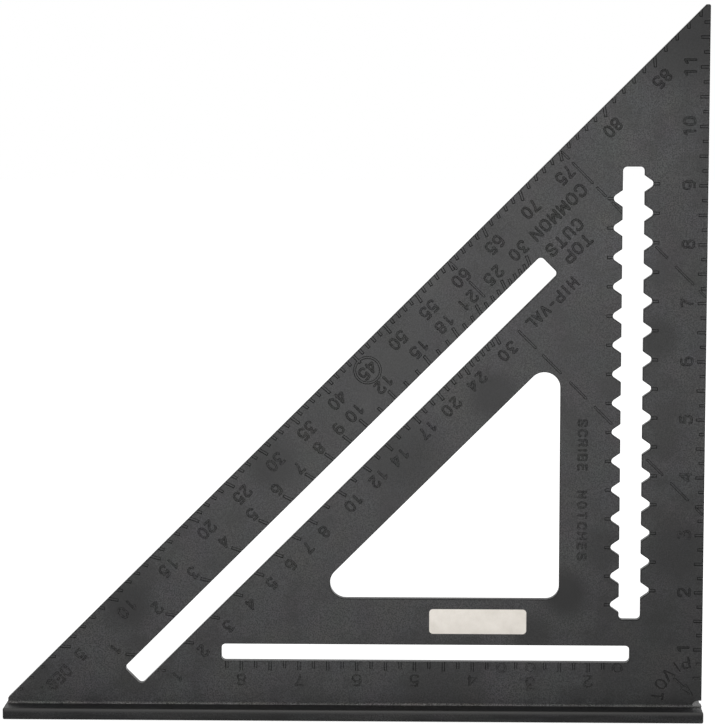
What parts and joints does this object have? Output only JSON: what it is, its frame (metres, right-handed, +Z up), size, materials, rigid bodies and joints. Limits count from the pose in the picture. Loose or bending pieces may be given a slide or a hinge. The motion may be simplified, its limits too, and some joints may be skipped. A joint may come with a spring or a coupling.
{
  "type": "rafter square",
  "caption": "Right-angled triangular layout square on a broad fence, with graduated edges, slots, a window and an upright notched scribe slot.",
  "frame": {"origin": "centre of the fence's underside, where the square stands on a flat surface", "axes": "+Z up from the fence to the blade's apex, +X along the fence towards the right-angled pivot corner, +Y through the blade's thickness to its rear face"},
  "size_m": [0.3064, 0.0254, 0.311],
  "materials": {
    "blade_coat": "satin",
    "fence_coat": "satin"
  },
  "bodies": {
    "root": {"blade": "blade_coat", "fence": "fence_coat"}
  },
  "joints": []
}
